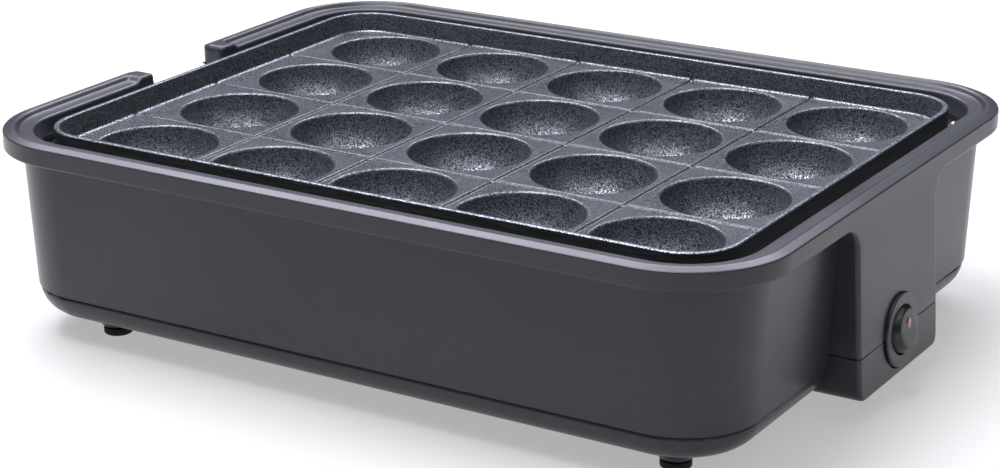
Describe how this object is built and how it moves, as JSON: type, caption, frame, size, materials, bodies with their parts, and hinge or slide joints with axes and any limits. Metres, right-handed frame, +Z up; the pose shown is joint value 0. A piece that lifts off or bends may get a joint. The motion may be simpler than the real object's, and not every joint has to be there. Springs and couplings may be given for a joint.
{
  "type": "dumpling maker",
  "caption": "Low electric countertop cooker with a loose cast plate of half-round cups, a rolled-rim housing, a tubular heater and a round rocker switch.",
  "frame": {"origin": "middle of the overall outline, on the surface the feet stand on", "axes": "+X along the long side towards the switch, +Y towards the back long side, +Z up"},
  "size_m": [0.2974, 0.2262, 0.073],
  "materials": {
    "case": "fine matt texture",
    "plate": "dark non-stick coat with fine metallic flakes",
    "bright": "bright rolled sheet",
    "sheath": "dull heat-darkened tube",
    "steel": "zinc plated",
    "ceramic": "white ceramic",
    "control_black": "satin black",
    "lens": "unlit red lamp window",
    "rubber": "matt",
    "lead_black": "insulated lead",
    "lead_red": "insulated lead",
    "lead_white": "glass-fibre sleeved lead"
  },
  "bodies": {
    "base": {"housing": "case", "base_pan": "case", "control_cover": "case", "heat_reflector": "bright", "heating_element": "sheath", "element_pins": "steel", "element_bushes": "ceramic", "element_brackets": "steel", "bracket_screws": "steel", "thermostat": "control_black", "thermostat_rivets": "steel", "thermal_fuse": "bright", "fuse_clip": "steel", "terminal_block": "ceramic", "terminal_screws": "steel", "switch_housing": "control_black", "switch_terminals": "steel", "cord_gland": "rubber", "foot_front_left": "rubber", "foot_front_right": "rubber", "foot_back_left": "rubber", "foot_back_right": "rubber", "base_screws": "steel", "cover_screws": "steel", "reflector_screws": "steel", "lead_switch": "lead_black", "lead_thermostat": "lead_red", "lead_fuse": "lead_white", "lead_element": "lead_white"},
    "plate": {"cooking_plate": "plate"},
    "rocker": {"switch_rocker": "control_black", "lamp_lens": "lens"}
  },
  "joints": [
    {"name": "plate_lift", "type": "slide", "parent": "base", "child": "plate", "axis": [0, 0, 1], "range_m": [0, 0.08]},
    {"name": "rocker_tilt", "type": "hinge", "parent": "base", "child": "rocker", "pos_m": [0.14302, 0, 0.02256], "axis": [0, 1, 0], "range_deg": [0, 18]}
  ]
}
